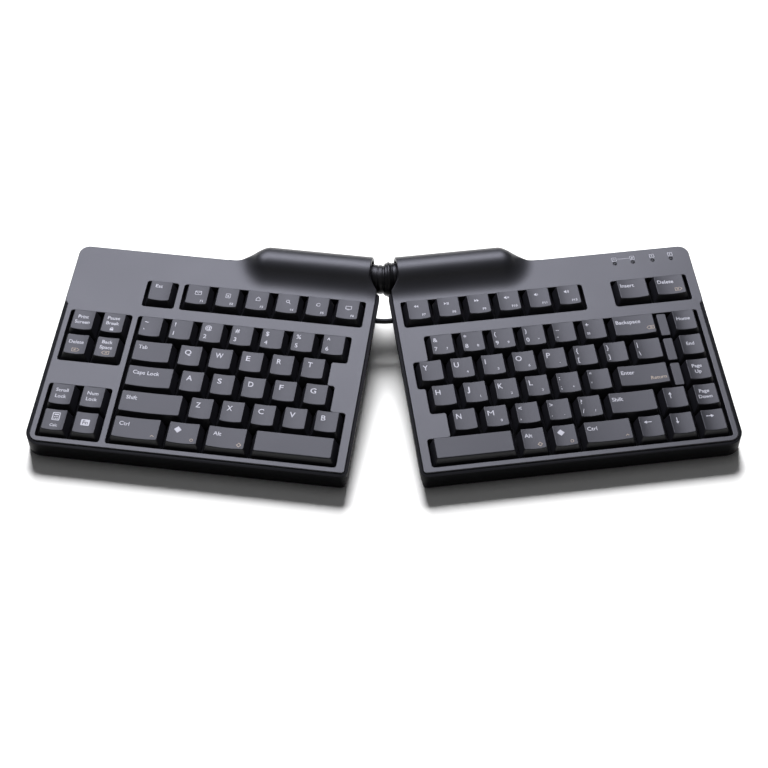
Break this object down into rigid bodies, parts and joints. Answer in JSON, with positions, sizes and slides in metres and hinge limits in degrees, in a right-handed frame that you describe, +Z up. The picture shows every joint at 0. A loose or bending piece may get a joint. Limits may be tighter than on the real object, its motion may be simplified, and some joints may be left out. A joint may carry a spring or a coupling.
{
  "type": "ergonomic split keyboard",
  "caption": "Split keyboard: two wedge-shaped halves with sprung keys, joined at the back by a booted ball joint that splays and tents.",
  "frame": {"origin": "on the desk, under the middle of the footprint", "axes": "+X to the user's right, +Y away from the user, +Z up"},
  "size_m": [0.428, 0.1809, 0.041],
  "materials": {
    "base": "fine-grained black moulding",
    "cover": "satin dark grey moulding",
    "deck": "black moulding",
    "domes": "silicone rubber",
    "circuit": "contact sheet",
    "feet": "matt rubber",
    "steel": "plated steel",
    "hinge_metal": "cast metal",
    "ball": "ground steel",
    "boot": "satin black rubber",
    "lens": "frosted clear lens",
    "lever": "black moulding",
    "lead": "black cable jacket",
    "keycaps": "finely textured caps with white legends"
  },
  "bodies": {
    "left_half": {"left_base": "base", "left_cover": "cover", "left_key_deck": "deck", "left_dome_sheet": "domes", "left_circuit_sheet": "circuit", "left_feet": "feet", "left_screws": "steel", "hinge_socket": "hinge_metal", "boot_sleeve": "boot", "link_lead": "lead"},
    "hinge_ball": {"hinge_ball": "ball", "hinge_pin": "steel"},
    "right_half": {"right_base": "base", "right_cover": "cover", "right_key_deck": "deck", "right_dome_sheet": "domes", "right_circuit_sheet": "circuit", "right_feet": "feet", "right_screws": "steel", "indicator_lenses": "lens", "cord_gland": "lead", "hinge_tongue": "hinge_metal", "boot_collar": "boot"},
    "lock_lever": {"lock_lever": "lever"},
    "left_function_keys": {"left_function_keys": "keycaps"},
    "left_number_keys": {"left_number_keys": "keycaps"},
    "left_modifier_keys": {"left_modifier_keys": "keycaps"},
    "left_side_keys": {"left_side_keys": "keycaps"},
    "left_space_bar": {"left_space_bar": "keycaps"},
    "key_q": {"key_q": "keycaps"},
    "key_w": {"key_w": "keycaps"},
    "key_e": {"key_e": "keycaps"},
    "key_r": {"key_r": "keycaps"},
    "key_t": {"key_t": "keycaps"},
    "key_a": {"key_a": "keycaps"},
    "key_s": {"key_s": "keycaps"},
    "key_d": {"key_d": "keycaps"},
    "key_f": {"key_f": "keycaps"},
    "key_g": {"key_g": "keycaps"},
    "key_z": {"key_z": "keycaps"},
    "key_x": {"key_x": "keycaps"},
    "key_c": {"key_c": "keycaps"},
    "key_v": {"key_v": "keycaps"},
    "key_b": {"key_b": "keycaps"},
    "right_function_keys": {"right_function_keys": "keycaps"},
    "right_symbol_keys": {"right_symbol_keys": "keycaps"},
    "right_modifier_keys": {"right_modifier_keys": "keycaps"},
    "navigation_keys": {"navigation_keys": "keycaps"},
    "right_space_bar": {"right_space_bar": "keycaps"},
    "key_y": {"key_y": "keycaps"},
    "key_u": {"key_u": "keycaps"},
    "key_i": {"key_i": "keycaps"},
    "key_o": {"key_o": "keycaps"},
    "key_p": {"key_p": "keycaps"},
    "key_h": {"key_h": "keycaps"},
    "key_j": {"key_j": "keycaps"},
    "key_k": {"key_k": "keycaps"},
    "key_l": {"key_l": "keycaps"},
    "key_n": {"key_n": "keycaps"},
    "key_m": {"key_m": "keycaps"}
  },
  "joints": [
    {"name": "half_splay", "type": "hinge", "parent": "hinge_ball", "child": "right_half", "pos_m": [0, 0.06083, 0.0275], "axis": [0, 0, 1], "range_deg": [-16, 14], "deforming": ["link_lead"]},
    {"name": "half_tent", "type": "hinge", "parent": "left_half", "child": "hinge_ball", "pos_m": [0, 0.06083, 0.0275], "axis": [0.1381, 0.9829, 0.1219], "range_deg": [0, 30], "deforming": ["link_lead"]},
    {"name": "hinge_lever", "type": "hinge", "parent": "left_half", "child": "lock_lever", "pos_m": [0, 0.06083, 0.0275], "axis": [0.9903, -0.1392, 0], "range_deg": [0, 60]},
    {"name": "key_press_left_function_keys", "type": "slide", "parent": "left_half", "child": "left_function_keys", "axis": [0.017, 0.1207, -0.9925], "range_m": [0, 0.003], "stiffness_N_per_m": 1050, "springref_m": -0.001, "deforming": ["left_dome_sheet"]},
    {"name": "key_press_left_number_keys", "type": "slide", "parent": "left_half", "child": "left_number_keys", "axis": [0.017, 0.1207, -0.9925], "range_m": [0, 0.003], "stiffness_N_per_m": 1050, "springref_m": -0.001, "deforming": ["left_dome_sheet"]},
    {"name": "key_press_left_modifier_keys", "type": "slide", "parent": "left_half", "child": "left_modifier_keys", "axis": [0.017, 0.1207, -0.9925], "range_m": [0, 0.003], "stiffness_N_per_m": 900, "springref_m": -0.001, "deforming": ["left_dome_sheet"]},
    {"name": "key_press_left_side_keys", "type": "slide", "parent": "left_half", "child": "left_side_keys", "axis": [0.017, 0.1207, -0.9925], "range_m": [0, 0.003], "stiffness_N_per_m": 1200, "springref_m": -0.001, "deforming": ["left_dome_sheet"]},
    {"name": "key_press_left_space_bar", "type": "slide", "parent": "left_half", "child": "left_space_bar", "axis": [0.017, 0.1207, -0.9925], "range_m": [0, 0.003], "stiffness_N_per_m": 150, "springref_m": -0.001, "deforming": ["left_dome_sheet"]},
    {"name": "key_press_q", "type": "slide", "parent": "left_half", "child": "key_q", "axis": [0.017, 0.1207, -0.9925], "range_m": [0, 0.003], "stiffness_N_per_m": 150, "springref_m": -0.001, "deforming": ["left_dome_sheet"]},
    {"name": "key_press_w", "type": "slide", "parent": "left_half", "child": "key_w", "axis": [0.017, 0.1207, -0.9925], "range_m": [0, 0.003], "stiffness_N_per_m": 150, "springref_m": -0.001, "deforming": ["left_dome_sheet"]},
    {"name": "key_press_e", "type": "slide", "parent": "left_half", "child": "key_e", "axis": [0.017, 0.1207, -0.9925], "range_m": [0, 0.003], "stiffness_N_per_m": 150, "springref_m": -0.001, "deforming": ["left_dome_sheet"]},
    {"name": "key_press_r", "type": "slide", "parent": "left_half", "child": "key_r", "axis": [0.017, 0.1207, -0.9925], "range_m": [0, 0.003], "stiffness_N_per_m": 150, "springref_m": -0.001, "deforming": ["left_dome_sheet"]},
    {"name": "key_press_t", "type": "slide", "parent": "left_half", "child": "key_t", "axis": [0.017, 0.1207, -0.9925], "range_m": [0, 0.003], "stiffness_N_per_m": 150, "springref_m": -0.001, "deforming": ["left_dome_sheet"]},
    {"name": "key_press_a", "type": "slide", "parent": "left_half", "child": "key_a", "axis": [0.017, 0.1207, -0.9925], "range_m": [0, 0.003], "stiffness_N_per_m": 150, "springref_m": -0.001, "deforming": ["left_dome_sheet"]},
    {"name": "key_press_s", "type": "slide", "parent": "left_half", "child": "key_s", "axis": [0.017, 0.1207, -0.9925], "range_m": [0, 0.003], "stiffness_N_per_m": 150, "springref_m": -0.001, "deforming": ["left_dome_sheet"]},
    {"name": "key_press_d", "type": "slide", "parent": "left_half", "child": "key_d", "axis": [0.017, 0.1207, -0.9925], "range_m": [0, 0.003], "stiffness_N_per_m": 150, "springref_m": -0.001, "deforming": ["left_dome_sheet"]},
    {"name": "key_press_f", "type": "slide", "parent": "left_half", "child": "key_f", "axis": [0.017, 0.1207, -0.9925], "range_m": [0, 0.003], "stiffness_N_per_m": 150, "springref_m": -0.001, "deforming": ["left_dome_sheet"]},
    {"name": "key_press_g", "type": "slide", "parent": "left_half", "child": "key_g", "axis": [0.017, 0.1207, -0.9925], "range_m": [0, 0.003], "stiffness_N_per_m": 150, "springref_m": -0.001, "deforming": ["left_dome_sheet"]},
    {"name": "key_press_z", "type": "slide", "parent": "left_half", "child": "key_z", "axis": [0.017, 0.1207, -0.9925], "range_m": [0, 0.003], "stiffness_N_per_m": 150, "springref_m": -0.001, "deforming": ["left_dome_sheet"]},
    {"name": "key_press_x", "type": "slide", "parent": "left_half", "child": "key_x", "axis": [0.017, 0.1207, -0.9925], "range_m": [0, 0.003], "stiffness_N_per_m": 150, "springref_m": -0.001, "deforming": ["left_dome_sheet"]},
    {"name": "key_press_c", "type": "slide", "parent": "left_half", "child": "key_c", "axis": [0.017, 0.1207, -0.9925], "range_m": [0, 0.003], "stiffness_N_per_m": 150, "springref_m": -0.001, "deforming": ["left_dome_sheet"]},
    {"name": "key_press_v", "type": "slide", "parent": "left_half", "child": "key_v", "axis": [0.017, 0.1207, -0.9925], "range_m": [0, 0.003], "stiffness_N_per_m": 150, "springref_m": -0.001, "deforming": ["left_dome_sheet"]},
    {"name": "key_press_b", "type": "slide", "parent": "left_half", "child": "key_b", "axis": [0.017, 0.1207, -0.9925], "range_m": [0, 0.003], "stiffness_N_per_m": 150, "springref_m": -0.001, "deforming": ["left_dome_sheet"]},
    {"name": "key_press_right_function_keys", "type": "slide", "parent": "right_half", "child": "right_function_keys", "axis": [-0.017, 0.1207, -0.9925], "range_m": [0, 0.003], "stiffness_N_per_m": 1200, "springref_m": -0.001, "deforming": ["right_dome_sheet"]},
    {"name": "key_press_right_symbol_keys", "type": "slide", "parent": "right_half", "child": "right_symbol_keys", "axis": [-0.017, 0.1207, -0.9925], "range_m": [0, 0.003], "stiffness_N_per_m": 1950, "springref_m": -0.001, "deforming": ["right_dome_sheet"]},
    {"name": "key_press_right_modifier_keys", "type": "slide", "parent": "right_half", "child": "right_modifier_keys", "axis": [-0.017, 0.1207, -0.9925], "range_m": [0, 0.003], "stiffness_N_per_m": 1050, "springref_m": -0.001, "deforming": ["right_dome_sheet"]},
    {"name": "key_press_navigation_keys", "type": "slide", "parent": "right_half", "child": "navigation_keys", "axis": [-0.017, 0.1207, -0.9925], "range_m": [0, 0.003], "stiffness_N_per_m": 1200, "springref_m": -0.001, "deforming": ["right_dome_sheet"]},
    {"name": "key_press_right_space_bar", "type": "slide", "parent": "right_half", "child": "right_space_bar", "axis": [-0.017, 0.1207, -0.9925], "range_m": [0, 0.003], "stiffness_N_per_m": 150, "springref_m": -0.001, "deforming": ["right_dome_sheet"]},
    {"name": "key_press_y", "type": "slide", "parent": "right_half", "child": "key_y", "axis": [-0.017, 0.1207, -0.9925], "range_m": [0, 0.003], "stiffness_N_per_m": 150, "springref_m": -0.001, "deforming": ["right_dome_sheet"]},
    {"name": "key_press_u", "type": "slide", "parent": "right_half", "child": "key_u", "axis": [-0.017, 0.1207, -0.9925], "range_m": [0, 0.003], "stiffness_N_per_m": 150, "springref_m": -0.001, "deforming": ["right_dome_sheet"]},
    {"name": "key_press_i", "type": "slide", "parent": "right_half", "child": "key_i", "axis": [-0.017, 0.1207, -0.9925], "range_m": [0, 0.003], "stiffness_N_per_m": 150, "springref_m": -0.001, "deforming": ["right_dome_sheet"]},
    {"name": "key_press_o", "type": "slide", "parent": "right_half", "child": "key_o", "axis": [-0.017, 0.1207, -0.9925], "range_m": [0, 0.003], "stiffness_N_per_m": 150, "springref_m": -0.001, "deforming": ["right_dome_sheet"]},
    {"name": "key_press_p", "type": "slide", "parent": "right_half", "child": "key_p", "axis": [-0.017, 0.1207, -0.9925], "range_m": [0, 0.003], "stiffness_N_per_m": 150, "springref_m": -0.001, "deforming": ["right_dome_sheet"]},
    {"name": "key_press_h", "type": "slide", "parent": "right_half", "child": "key_h", "axis": [-0.017, 0.1207, -0.9925], "range_m": [0, 0.003], "stiffness_N_per_m": 150, "springref_m": -0.001, "deforming": ["right_dome_sheet"]},
    {"name": "key_press_j", "type": "slide", "parent": "right_half", "child": "key_j", "axis": [-0.017, 0.1207, -0.9925], "range_m": [0, 0.003], "stiffness_N_per_m": 150, "springref_m": -0.001, "deforming": ["right_dome_sheet"]},
    {"name": "key_press_k", "type": "slide", "parent": "right_half", "child": "key_k", "axis": [-0.017, 0.1207, -0.9925], "range_m": [0, 0.003], "stiffness_N_per_m": 150, "springref_m": -0.001, "deforming": ["right_dome_sheet"]},
    {"name": "key_press_l", "type": "slide", "parent": "right_half", "child": "key_l", "axis": [-0.017, 0.1207, -0.9925], "range_m": [0, 0.003], "stiffness_N_per_m": 150, "springref_m": -0.001, "deforming": ["right_dome_sheet"]},
    {"name": "key_press_n", "type": "slide", "parent": "right_half", "child": "key_n", "axis": [-0.017, 0.1207, -0.9925], "range_m": [0, 0.003], "stiffness_N_per_m": 150, "springref_m": -0.001, "deforming": ["right_dome_sheet"]},
    {"name": "key_press_m", "type": "slide", "parent": "right_half", "child": "key_m", "axis": [-0.017, 0.1207, -0.9925], "range_m": [0, 0.003], "stiffness_N_per_m": 150, "springref_m": -0.001, "deforming": ["right_dome_sheet"]}
  ]
}
